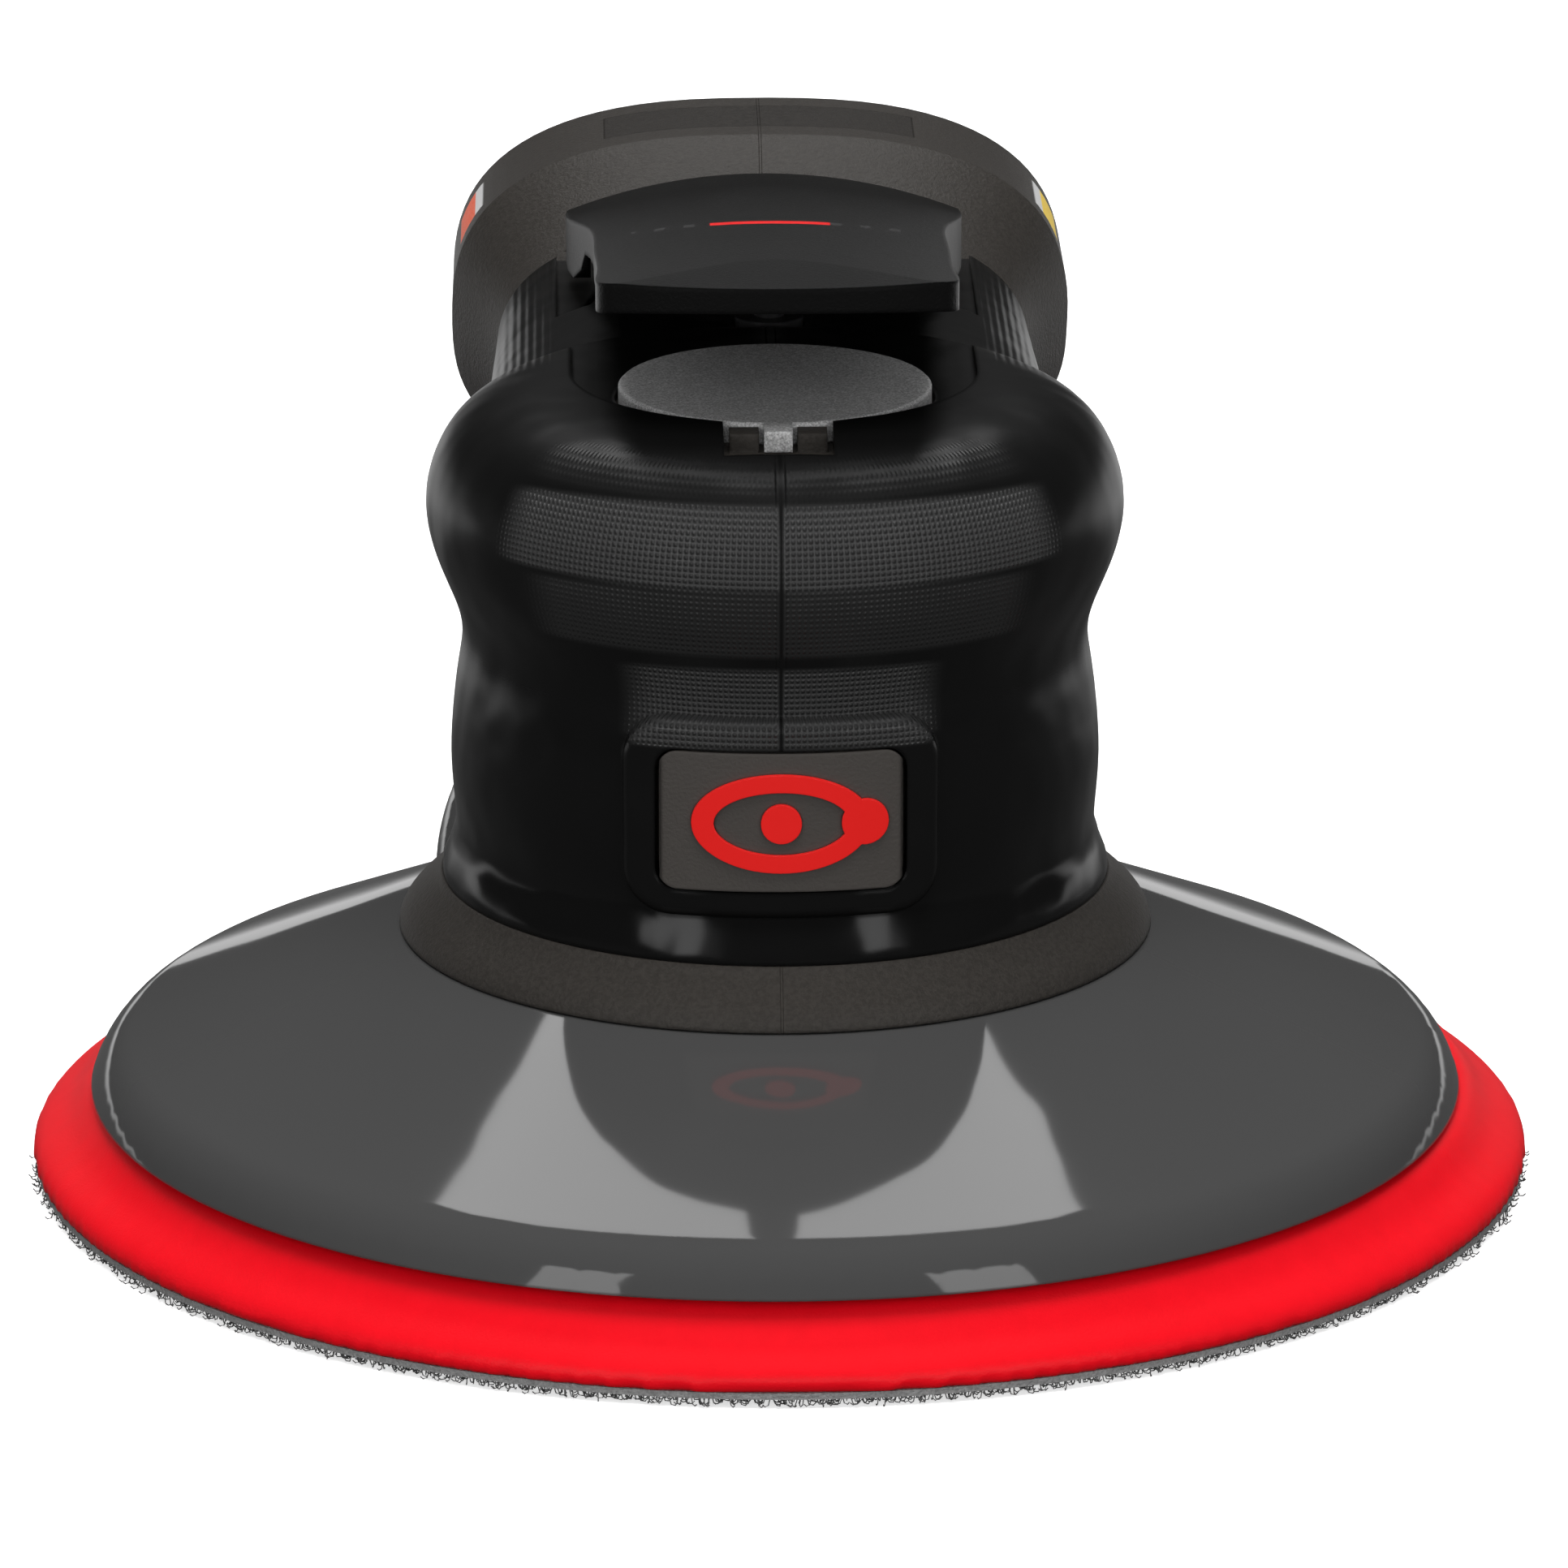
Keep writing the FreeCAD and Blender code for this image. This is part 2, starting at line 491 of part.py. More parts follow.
def make_badge():
    """Badge plate with a plain orbit emblem: an elliptical track, a dot on it and a dot at its centre."""
    plate = rounded_plate(12.1, 7.0, 2.0, BADGE_Y - 2.1, BADGE_Y, BADGE_Z)
    plate = plate.common(disc(BADGE_CURVE_R, 30, 60, 0, BADGE_CENTRE_Y))
    skin = ring(BADGE_CURVE_R + EMBLEM_PROUD, BADGE_CURVE_R - EMBLEM_SUNK, 30, 60, 0, BADGE_CENTRE_Y)
    y0, y1 = BADGE_Y - 6, BADGE_Y
    track = upright_ellipse(8.8, 5.0, y0, y1, BADGE_Z).cut(upright_ellipse(6.6, 3.2, y0, y1, BADGE_Z))
    moon = rod_y(2.3, y0, y1, BADGE_Z, 8.2)
    centre = rod_y(2.0, y0, y1, BADGE_Z)
    pieces = [shape.common(skin) for shape in (track.fuse(moon).removeSplitter(), centre)]
    for piece in pieces:
        plate = plate.cut(piece)
    save("front_badge", plate)
    save("badge_emblem", *[solid for piece in pieces for solid in piece.Solids])


def make_cap():
    edge = 0.25
    cap = disc(CAP_R, HEAD_TOP + 0.05, CAP_TOP - edge).fuse(
        Part.makeCone(CAP_R, CAP_R - edge, edge, Vector(0, 0, CAP_TOP - edge)))
    tab = block(-1.4, 1.4, CAP_TAB_Y, -CAP_R + 1.0, HEAD_TOP + 0.1, CAP_TOP)
    peg = disc(1.95, HEAD_TOP - 3.6, HEAD_TOP + 0.5)
    save("top_cap", cap.fuse(tab).fuse(peg).removeSplitter())


# --- rubber grip --------------------------------------------------------------------------------------
GRIP_PROFILE = [
    (33.5, GRIP_BOTTOM), (33.3, 32.8), (32.3, 35.4), (32.2, 39.0), (32.5, 44.0), (32.2, 49.0), (31.7, 53.0),
    (31.3, 56.8), (31.8, 59.4), (32.9, 62.2), (34.1, 65.4), (34.75, 68.6), (34.7, 71.2), (33.9, 74.2),
    (32.0, 77.4), (29.4, 79.5), (26.0, 80.9), (22.0, 81.5), (16.0, 81.6),
]
GRIP_NECK = (
    (29.0, 14.4, 17.2, 4.0),
    (29.3, 14.6, 18.2, 30.0),
    (28.6, 14.8, 18.0, 56.0),
    (28.2, 14.9, 17.8, 70.0),
)
WELL_R, WELL_Y, WELL_FLOOR = 20.3, 4.7, 80.2
NECK_FLOOR = 77.6                # housing under the lever
NECK_SKIN_TOP = 79.0             # rubber under the lever
BUSHING_R = 3.5
BUSHING_Z = (73.4, 80.0)


def badge_frame():
    """Raised rubber frame round the badge, with a rounded front edge that follows the badge's curve."""
    curve_r = BADGE_CURVE_R - 0.2
    frame = rounded_plate(15.4, 10.0, 4.6, BADGE_Y - 6, -HEAD_R - 0.1, BADGE_Z)
    frame = frame.common(disc(curve_r, 20, 70, 0, BADGE_CENTRE_Y))
    front = []
    for edge in frame.Edges:
        reach = [math.hypot(v.X, v.Y - BADGE_CENTRE_Y) for v in edge.Vertexes]
        if all(abs(r - curve_r) < 0.01 for r in reach):
            front.append(edge)
    return frame.makeFillet(1.1, front)


def make_grip():
    head = turned([
        line((HEAD_R - 1, GRIP_BOTTOM), GRIP_PROFILE[0]),
        curve(GRIP_PROFILE),
        line(GRIP_PROFILE[-1], (16.0, 72.0)),
        line((16.0, 72.0), (HEAD_R - 1, 68.0)),
        line((HEAD_R - 1, 68.0), (HEAD_R - 1, GRIP_BOTTOM)),
    ])
    neck = loft(*[(w, up, down, y, NECK_Z) for w, up, down, y in GRIP_NECK])
    neck = neck.cut(disc(HEAD_R, 20, 90))
    grip = head.fuse(neck)

    inside = turned([
        line((0, 20), (HEAD_R + SKIN_GAP, 20)),
        line((HEAD_R + SKIN_GAP, 20), (HEAD_R + SKIN_GAP, 70.0)),
        curve([(HEAD_R + SKIN_GAP, 70.0), (HEAD_R - 0.9, 74.5), (HEAD_R - 4.3, 78.1),
               (20.0, HEAD_TOP + SKIN_GAP)]),
        line((20.0, HEAD_TOP + SKIN_GAP), (0, HEAD_TOP + SKIN_GAP)),
        line((0, HEAD_TOP + SKIN_GAP), (0, 20)),
    ])
    gap = SKIN_GAP * 1.5
    inner_neck = loft(*[(w + gap, up + gap, down + gap, y, NECK_Z) for w, up, down, y in BELL])
    grip = grip.cut(inside).cut(inner_neck)

    well = disc(WELL_R, WELL_FLOOR, 95, 0, WELL_Y).fuse(block(-WELL_R, WELL_R, WELL_Y, 40, WELL_FLOOR, 95))
    half, rear = LEVER_ROOM
    grip = grip.cut(well).cut(block(-half, half, 27.0, rear + 2.0, NECK_SKIN_TOP, 95))
    for pocket in skirt_pockets():
        grip = grip.cut(pocket)
    grip = grip.cut(block(-NOTCH_HALF, NOTCH_HALF, NOTCH_Y, -14.0, HEAD_TOP - 5, 90))
    grip = grip.cut(disc(CAP_R + 0.15, 70, 90))
    grip = grip.cut(disc(BUSHING_R + 0.2, 70, 90, 0, VALVE_Y))
    grip = grip.cut(disc(VALVE_BORE_R + 0.4, 40, 56, 0, VALVE_Y))
    grip = grip.cut(block(-16.6, 16.6, PIVOT_Y - 4.5, PIVOT_Y + 6.0, 70, 95))
    grip = grip.fuse(badge_frame()).cut(rounded_plate(12.3, 7.2, 2.2, -40.0, -25.0, BADGE_Z))
    save("rubber_grip", grip.removeSplitter())


# --- lever and valve ----------------------------------------------------------------------------------
def lever_section(t):
    """Closed arch a share t of the way from the lip to the rear edge: flat at the lip, arched at the rear."""
    y = LEVER_FRONT[0] + t * (LEVER_REAR[0] - LEVER_FRONT[0])
    top = LEVER_FRONT[1] + t * (LEVER_REAR[1] - LEVER_FRONT[1])
    half = 24.0
    sag = 0.7 + 4.7 * t
    low = LEVER_T
    upper = Part.Arc(Vector(-half, y, top - sag), Vector(0, y, top), Vector(half, y, top - sag)).toShape()
    lower = Part.Arc(Vector(half, y, top - sag - low), Vector(0, y, top - low),
                     Vector(-half, y, top - sag - low)).toShape()
    right = Part.LineSegment(Vector(half, y, top - sag), Vector(half, y, top - sag - low)).toShape()
    left = Part.LineSegment(Vector(-half, y, top - sag - low), Vector(-half, y, top - sag)).toShape()
    return Part.Wire([upper, right, lower, left])


def lever_side(side):
    """Outline of one side from the rear edge to the lip's rounded corner, seen from above."""
    lip, rear = LEVER_FRONT[0], LEVER_REAR[0]
    points = [(LEVER_REAR_HALF, rear), (LEVER_REAR_HALF, rear - 10), (LEVER_WAIST_HALF + 0.6, rear - 28),
              (LEVER_WAIST_HALF, rear - 54), (LEVER_WAIST_HALF - 0.2, lip + 14), (LEVER_FRONT_HALF, lip + 8),
              (LEVER_FRONT_HALF - 0.4, lip + 5.6), (LEVER_FRONT_HALF - 2.2, lip + 4.0)]
    return smooth_edge([Vector(side * x, y, 60) for x, y in points])


def make_lever():
    shell = Part.makeLoft([lever_section(t) for t in (-0.05, 0.33, 0.66, 1.0)], True, False)
    right, left = lever_side(1), lever_side(-1)
    front_right, front_left = right.Vertexes[-1].Point, left.Vertexes[-1].Point
    edge = Part.Arc(front_right, Vector(0, LEVER_FRONT[0], 60), front_left).toShape()
    rear = Part.makeLine(left.Vertexes[0].Point, right.Vertexes[0].Point)
    plan = Part.Face(Part.Wire(Part.sortEdges([right, edge, left, rear])[0]))
    plan = plan.extrude(Vector(0, 0, 60))
    front, back = LEVER_NOSE
    above_nose = side_slab([front, back, (front[0], front[1] + 20)], -30, 30)
    paddle = shell.cut(above_nose).common(plan)
    skirt = side_slab(LEVER_SKIRT, 18.2, 28.0).common(plan)
    paddle = paddle.fuse(skirt).fuse(skirt.mirror(Vector(0, 0, 0), Vector(1, 0, 0)))
    cheek = rod_x(3.0, 12.4, 16.0, PIVOT_Y, PIVOT_Z).fuse(
        block(12.4, 16.0, PIVOT_Y - 3.0, PIVOT_Y + 3.0, PIVOT_Z, PIVOT_Z + 3.4))
    lever = paddle.fuse(cheek).fuse(cheek.mirror(Vector(0, 0, 0), Vector(1, 0, 0)))
    lever = lever.cut(rod_x(PIVOT_R + RUN_GAP, -30, 30, PIVOT_Y, PIVOT_Z))
    save("throttle_lever", lever.removeSplitter())
    save("lever_pin", rod_x(PIVOT_R, -15.8, 15.8, PIVOT_Y, PIVOT_Z))


LEVER_SLOPE = (LEVER_FRONT[1] - LEVER_REAR[1]) / (LEVER_REAR[0] - LEVER_FRONT[0])
STEM_TOP = LEVER_FRONT[1] - LEVER_T - LEVER_SLOPE * (VALVE_Y - LEVER_FRONT[0]) - 0.25
POPPET_Z = (62.4, 65.1)


def make_valve():
    stem = disc(STEM_R, POPPET_Z[0], STEM_TOP - 0.6, 0, VALVE_Y).fuse(
        Part.makeCone(STEM_R, STEM_R - 0.6, 0.6, Vector(0, VALVE_Y, STEM_TOP - 0.6)))
    save("valve_stem", stem.fuse(disc(4.6, *POPPET_Z, 0, VALVE_Y)).removeSplitter())
    save("valve_face_seal", ring(4.4, STEM_R, POPPET_Z[1], VALVE_SEAT_Z[0] - 0.05, 0, VALVE_Y))
    save("valve_seat", ring(VALVE_BORE_R, 2.6, *VALVE_SEAT_Z, 0, VALVE_Y))
    save("stem_bushing", ring(BUSHING_R, STEM_R + RUN_GAP, *BUSHING_Z, 0, VALVE_Y))
    spring_z = (52.3, POPPET_Z[0] - 0.1)
    plug = disc(VALVE_BORE_R, 48.2, 52.2, 0, VALVE_Y).cut(disc(2.5, 47, 50, 0, VALVE_Y))
    save("valve_plug", plug)

    turns, wire_r, coil_r = 5.0, 0.4, 3.4
    z0, z1 = spring_z[0] + wire_r, spring_z[1] - wire_r
    helix = Part.makeHelix((z1 - z0) / turns, z1 - z0, coil_r)
    helix.translate(Vector(0, VALVE_Y, z0))
    start = Part.Wire(Part.makeCircle(wire_r, Vector(coil_r, VALVE_Y, z0), Vector(0, 1, 0.1)))
    save("valve_spring", Part.Wire(helix).makePipeShell([start], True, True))


# --- back of the handle -------------------------------------------------------------------------------
def make_back():
    cover = Part.Face(section(BAND[0] - 1.6, BAND[1] - 1.6, BAND[2] - 1.6, BACK - 3.9, NECK_Z))
    cover = cover.extrude(Vector(0, 2.9, 0))
    cover = cover.cut(rod_y(8.4, BACK - 6, BACK, INLET_Z)).cut(rod_y(3.6, BACK - 6, BACK, DIAL_Z))
    for side in (-1, 1):
        for i in range(4):
            z = 60.0 + 3.6 * i
            x = side * 19.6
            cover = cover.cut(block(x - 5.5, x + 5.5, BACK - 6, BACK, z - 0.9, z + 0.9))
    screws = []
    for x, z in COVER_SCREWS:
        cover = cover.cut(rod_y(1.7, BACK - 6, BACK, z, x)).cut(rod_y(3.1, BACK - 2.2, BACK, z, x))
        screw = rod_y(1.28, BACK - 15, BACK - 2.1, z, x).fuse(rod_y(2.9, BACK - 2.2, BACK - 0.4, z, x))
        screws.append(screw.cut(rod_y(1.3, BACK - 1.3, BACK, z, x)))
    save("rear_cover", cover)
    save("rear_cover_screws", *screws)

    pad = block(13.2, 26.0, BACK - 16.6, BACK - 4.4, 58.2, 71.6)
    save("muffler_pads", pad, pad.mirror(Vector(0, 0, 0), Vector(1, 0, 0)))

    hexagon = Part.makePolygon([Vector(10.4 * math.cos(math.radians(60 * i)), BACK - 0.8,
                                       INLET_Z + 10.4 * math.sin(math.radians(60 * i))) for i in range(7)])
    bushing = Part.Face(hexagon).extrude(Vector(0, 7.0, 0)).common(rod_y(9.9, BACK - 7, BACK + 13, INLET_Z))
    bushing = bushing.fuse(rod_y(7.98, BACK - 20, BACK - 0.7, INLET_Z))
    bushing = bushing.fuse(rod_y(7.4, BACK + 6, BACK + 9, INLET_Z))
    bushing = bushing.cut(rod_y(NPT_MINOR_R, BACK - 4, BACK + 13, INLET_Z))
    bushing = bushing.cut(rod_y(4.7, BACK - 5, BACK - 3, INLET_Z))
    bushing = bushing.cut(rod_y(4.0, BACK - 27, BACK - 2, INLET_Z))
    save("inlet_bushing", bushing.removeSplitter())
    save("inlet_screen", rod_y(4.65, BACK - 4.9, BACK - 4.1, INLET_Z))

    knob = rod_y(6.6, BACK + 0.2, BACK + 5.4, DIAL_Z)
    flutes = []
    for i in range(12):
        a = math.radians(30 * i + 15)
        flutes.append(rod_y(0.9, BACK + 0.6, BACK + 6, DIAL_Z + 7.0 * math.sin(a), 7.0 * math.cos(a)))
    knob = knob.cut(Part.makeCompound(flutes))
    knob = knob.fuse(block(-1.1, 1.1, BACK + 5.3, BACK + 6.6, DIAL_Z - 5.6, DIAL_Z + 5.6))
    groove = ring_y(3.6, 2.4, BACK - 10, BACK - 8.4, DIAL_Z)
    knob = knob.fuse(rod_y(3.05, BACK - 33, BACK + 0.3, DIAL_Z)).cut(groove)
    save("speed_dial", knob.removeSplitter())
    save("dial_o_ring", Part.makeTorus(2.75, 0.33, Vector(0, BACK - 9.2, DIAL_Z), Vector(0, 1, 0)))


def ring_y(r_out, r_in, y0, y1, z):
    """Hollow cylinder lying along Y."""
    return rod_y(r_out, y0, y1, z).cut(rod_y(r_in, y0 - 1, y1 + 1, z))


# --- shroud, duct and vacuum fitting ------------------------------------------------------------------
DUCT = (
    (33.5, 8.0, 8.5, 18.0, 19.5),
    (34.0, 12.0, 11.5, 40.0, 22.4),
    (27.0, 14.6, 14.2, 65.0, 25.4),
)


def duct_loft(shrink):
    """Duct from under the head to just inside its round mouth, where it is a step smaller than the mouth."""
    sections = [(w - shrink, up - shrink, down - shrink, y, z) for w, up, down, y, z in DUCT]
    r = DUCT_R - shrink - MOUTH_STEP
    sections.append((r, r, r, MOUTH_Y + 0.5, DUCT_Z, 2.0))
    return loft(*sections)


def make_shroud():
    top, bend, rim, t = SHROUD_TOP, SHROUD_BEND, SHROUD_RIM, SHROUD_T
    cone_end = (bend[0] - 2.0, bend[1] + 0.9)
    inner_rim = (rim[0] - 1.7, rim[1])
    inner_bend = (bend[0] - 1.5, bend[1] - 1.7)
    inner_top = (top[0] - 0.6, top[1] - t)
    skirt = turned([
        line((SPIGOT_R + 0.1, top[1] - t), (SPIGOT_R + 0.1, top[1])),
        line((SPIGOT_R + 0.1, top[1]), top),
        line(top, cone_end),
        curve([cone_end, (bend[0] - 0.3, bend[1] - 0.05), (bend[0] + 0.9, bend[1] - 1.3), rim]),
        line(rim, inner_rim),
        line(inner_rim, inner_bend),
        line(inner_bend, inner_top),
        line(inner_top, (SPIGOT_R + 0.1, top[1] - t)),
    ])
    duct = duct_loft(0.0).cut(disc(COLLAR_R + 0.4, top[1], 60)).cut(disc(SPIGOT_R + 0.1, 0, 60))
    below_skirt = turned([(0, 0), (inner_rim[0], 0), inner_rim, inner_bend, inner_top, (0, inner_top[1])])
    bore = duct_loft(t).cut(disc(SPIGOT_R + 3.0, 0, 60)).cut(disc(COLLAR_R + 2.4, top[1] - t, 60))
    shroud = skirt.fuse(duct.cut(below_skirt)).fuse(rod_y(DUCT_R, MOUTH_Y, DUCT_END_Y, DUCT_Z))
    shroud = shroud.cut(bore).cut(rod_y(DUCT_R - t, MOUTH_Y + 0.2, DUCT_END_Y + 1, DUCT_Z))
    save("shroud", shroud)


def make_vacuum_fitting():
    inner = DUCT_R - SHROUD_T - 0.06
    fitting = rod_y(inner, DUCT_END_Y - 7.0, DUCT_END_Y + 0.4, DUCT_Z)
    fitting = fitting.fuse(rod_y(DUCT_R, DUCT_END_Y + 0.3, DUCT_END_Y + 5.0, DUCT_Z))
    fitting = fitting.fuse(rod_y(SPIGOT_OUT_R, DUCT_END_Y + 4.9, SPIGOT_END_Y, DUCT_Z))
    rib = block(-1.2, 1.2, DUCT_END_Y + 0.8, DUCT_END_Y + 4.4, DUCT_Z + DUCT_R - 0.6, DUCT_Z + DUCT_R + 0.7)
    ribs = []
    for i in range(16):
        copy = rib.copy()
        copy.rotate(Vector(0, 0, DUCT_Z), Vector(0, 1, 0), 22.5 * i)
        ribs.append(copy)
    for r in ribs:
        fitting = fitting.fuse(r)
    fitting = fitting.cut(rod_y(SPIGOT_OUT_R - 2.0, DUCT_END_Y - 10, SPIGOT_END_Y + 2, DUCT_Z))
    fitting = fitting.cut(ring_y(inner + 1, inner - 0.9, DUCT_END_Y - 4.6, DUCT_END_Y - 2.8, DUCT_Z))
    save("vacuum_fitting", fitting.removeSplitter())
    seal_centre = Vector(0, DUCT_END_Y - 3.7, DUCT_Z)
    save("fitting_o_ring", Part.makeTorus(inner - 0.46, 0.42, seal_centre, Vector(0, 1, 0)))

    y0, y1 = DUCT_END_Y - 5.0, DUCT_END_Y - 0.4
    strap = ring_y(DUCT_R + 1.6, DUCT_R + 0.02, y0, y1, DUCT_Z)
    lug = block(-4.8, 4.8, DUCT_END_Y - 2.8, DUCT_END_Y - 0.4, DUCT_Z + DUCT_R + 1.0, 48.9)
    ears = block(DUCT_R, DUCT_R + 7.5, y0, y1, DUCT_Z - 3.6, DUCT_Z + 3.6)
    strap = strap.fuse(lug).fuse(ears.cut(rod_y(DUCT_R + 0.02, y0 - 1, y1 + 1, DUCT_Z)))
    strap = strap.cut(block(DUCT_R - 2, DUCT_R + 9, y0 - 1, y1 + 1, DUCT_Z - 0.8, DUCT_Z + 0.8))
    ear_x, ear_y = DUCT_R + 4.8, (y0 + y1) / 2
    strap = strap.cut(disc(1.2, DUCT_Z - 6, DUCT_Z + 6, ear_x, ear_y))
    save("duct_strap", strap.removeSplitter())
    screw = disc(1.18, DUCT_Z - 5.0, DUCT_Z + 3.7, ear_x, ear_y)
    screw = screw.fuse(disc(2.2, DUCT_Z + 3.62, DUCT_Z + 5.6, ear_x, ear_y))
    save("strap_screw", screw.cut(disc(1.0, DUCT_Z + 4.6, DUCT_Z + 7, ear_x, ear_y)))


def main():
    os.makedirs(OUT, exist_ok=True)
    make_pad()
    make_bearings()
    make_spindle()
    make_balancer()
    make_motor()
    make_housing()
    make_badge()
    make_cap()
    make_grip()
    make_lever()
    make_valve()
    make_back()
    make_shroud()
    make_vacuum_fitting()


main()
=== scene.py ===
"""Studio picture of the air-driven dual action polisher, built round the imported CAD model.

The CAD nodes give every shape and place.  This script adds materials, soft foam and curled hooks for the
pad, lights, a floor and the camera.  Lengths are in metres unless a name says mm; materials work in mm.
"""

import json
import math
import random

import bmesh
import bpy
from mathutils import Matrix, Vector


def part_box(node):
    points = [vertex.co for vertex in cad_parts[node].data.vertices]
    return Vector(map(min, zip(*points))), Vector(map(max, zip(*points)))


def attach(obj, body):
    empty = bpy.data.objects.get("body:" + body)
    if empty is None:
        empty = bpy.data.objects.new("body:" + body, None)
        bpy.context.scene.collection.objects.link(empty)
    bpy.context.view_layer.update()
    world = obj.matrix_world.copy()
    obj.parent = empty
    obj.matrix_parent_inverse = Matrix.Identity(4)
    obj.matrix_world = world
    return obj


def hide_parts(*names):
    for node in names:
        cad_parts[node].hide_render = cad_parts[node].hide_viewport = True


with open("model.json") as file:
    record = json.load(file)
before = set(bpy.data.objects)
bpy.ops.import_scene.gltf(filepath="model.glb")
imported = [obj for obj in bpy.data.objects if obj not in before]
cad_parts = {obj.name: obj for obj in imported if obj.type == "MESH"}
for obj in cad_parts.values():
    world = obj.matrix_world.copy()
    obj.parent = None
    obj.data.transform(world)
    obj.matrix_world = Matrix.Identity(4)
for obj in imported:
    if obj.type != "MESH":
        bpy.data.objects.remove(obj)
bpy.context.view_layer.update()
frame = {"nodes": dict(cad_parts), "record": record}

MM = 0.001

# --- driving values -----------------------------------------------------------------------------------
SENSOR_WIDTH = 36.0
CAMERA_LENS = 250.8
CAMERA_DISTANCE = 1.098
CAMERA_ELEVATION = math.radians(16.93)
CAMERA_AZIMUTH = math.radians(-1.1)
CAMERA_TARGET = Vector((0.0009, 0.0, 0.0398))

SEED = 7
FOAM_VOXEL = 0.75 * MM
FELT_SHARE = 0.45                # of the hook face's thickness
HOOK_PITCH = 1.7 * MM
HOOK_RADIUS = 0.07 * MM
HOOK_REACH = 0.8 * MM
HOOK_ROOT = 0.05 * MM            # how deep a hook is rooted in the felt
CENTRE_HOLE = 9.6 * MM
DUST_HOLES = (                   # circle radius, number, hole radius
    (30.0 * MM, 8, 4.0 * MM),
    (50.0 * MM, 16, 2.5 * MM),
)
EDGE_RINGS = 3
EDGE_REACH = 0.9 * MM
EDGE_PITCH = 0.55 * MM           # from one hook to the next along a ring
EDGE_INSET_MM = 0.25             # from the pad's edge to the first ring
EDGE_STEP_MM = 0.55              # from one ring to the next


# --- node helpers -------------------------------------------------------------------------------------
class Nodes:
    """Small builder of one material's node tree. Every maker returns an output socket."""

    def __init__(self, name):
        self.material = bpy.data.materials.new(name)
        self.material.use_nodes = True
        self.tree = self.material.node_tree
        self.tree.nodes.clear()
        self.output = self.tree.nodes.new("ShaderNodeOutputMaterial")
        self.coords = self.tree.nodes.new("ShaderNodeTexCoord").outputs["Object"]
        scale = self.tree.nodes.new("ShaderNodeVectorMath")
        scale.operation = "SCALE"
        scale.inputs["Scale"].default_value = 1 / MM
        self.tree.links.new(self.coords, scale.inputs[0])
        self.mm = scale.outputs[0]
        split = self.tree.nodes.new("ShaderNodeSeparateXYZ")
        self.tree.links.new(self.mm, split.inputs[0])
        self.x, self.y, self.z = split.outputs

    def put(self, value, socket):
        if isinstance(value, bpy.types.NodeSocket):
            self.tree.links.new(value, socket)
        else:
            socket.default_value = value

    def math(self, operation, a, b=0.0, c=0.0):
        node = self.tree.nodes.new("ShaderNodeMath")
        node.operation = operation
        for value, socket in zip((a, b, c), node.inputs):
            self.put(value, socket)
        return node.outputs[0]

    def band(self, value, low, high, soft):
        """1 where value is between low and high, falling to 0 over soft at both ends."""
        rise = self.ramp(value, low - soft, low)
        fall = self.ramp(value, high, high + soft)
        return self.math("SUBTRACT", rise, fall)

    def ramp(self, value, low, high, start=0.0, end=1.0):
        node = self.tree.nodes.new("ShaderNodeMapRange")
        node.interpolation_type = "SMOOTHSTEP"
        for value_in, socket in zip((value, low, high, start, end), node.inputs):
            self.put(value_in, socket)
        return node.outputs[0]

    def noise(self, scale, detail=2.0, roughness=0.5):
        """Noise in the piece's own millimetres; scale is in waves per millimetre."""
        node = self.tree.nodes.new("ShaderNodeTexNoise")
        self.put(self.mm, node.inputs["Vector"])
        node.inputs["Scale"].default_value = scale
        node.inputs["Detail"].default_value = detail
        node.inputs["Roughness"].default_value = roughness
        return node.outputs["Fac"]

    def mix(self, share, a, b):
        node = self.tree.nodes.new("ShaderNodeMix")
        node.data_type = "RGBA"
        self.put(share, node.inputs[0])
        self.put(a, node.inputs[6])
        self.put(b, node.inputs[7])
        return node.outputs[2]

    def finish(self, color, roughness, metallic=0.0, height_mm=None, edge_mm=0.0, specular=0.5):
        shader = self.tree.nodes.new("ShaderNodeBsdfPrincipled")
        self.put(color, shader.inputs["Base Color"])
        self.put(roughness, shader.inputs["Roughness"])
        self.put(metallic, shader.inputs["Metallic"])
        self.put(specular, shader.inputs["Specular IOR Level"])
        normal = None
        if edge_mm:
            bevel = self.tree.nodes.new("ShaderNodeBevel")
            bevel.samples = 4
            bevel.inputs["Radius"].default_value = edge_mm * MM
            normal = bevel.outputs[0]
        if height_mm is not None:
            bump = self.tree.nodes.new("ShaderNodeBump")
            bump.inputs["Distance"].default_value = MM
            self.put(height_mm, bump.inputs["Height"])
            if normal is not None:
                self.put(normal, bump.inputs["Normal"])
            normal = bump.outputs[0]
        if normal is not None:
            self.put(normal, shader.inputs["Normal"])
        self.tree.links.new(shader.outputs[0], self.output.inputs[0])
        return self.material


def grey(value):
    return (value, value, value, 1.0)


# --- materials ----------------------------------------------------------------------------------------
PANEL_HALF_X_MM = 16.5           # blank panel on top of the flared end
PANEL_Y_MM = (92.0, 101.0)
LABEL_Y_MM = (91.5, 101.5)       # plain patches on its shoulders
LABEL_Z_MM = (73.0, 80.5)
LABEL_X_MM = 29.6
LABEL_ACCENTS = (                # side, colour of the patch's lower part
    (-1.0, (0.75, 0.10, 0.03, 1)),
    (1.0, (0.80, 0.55, 0.03, 1)),
)


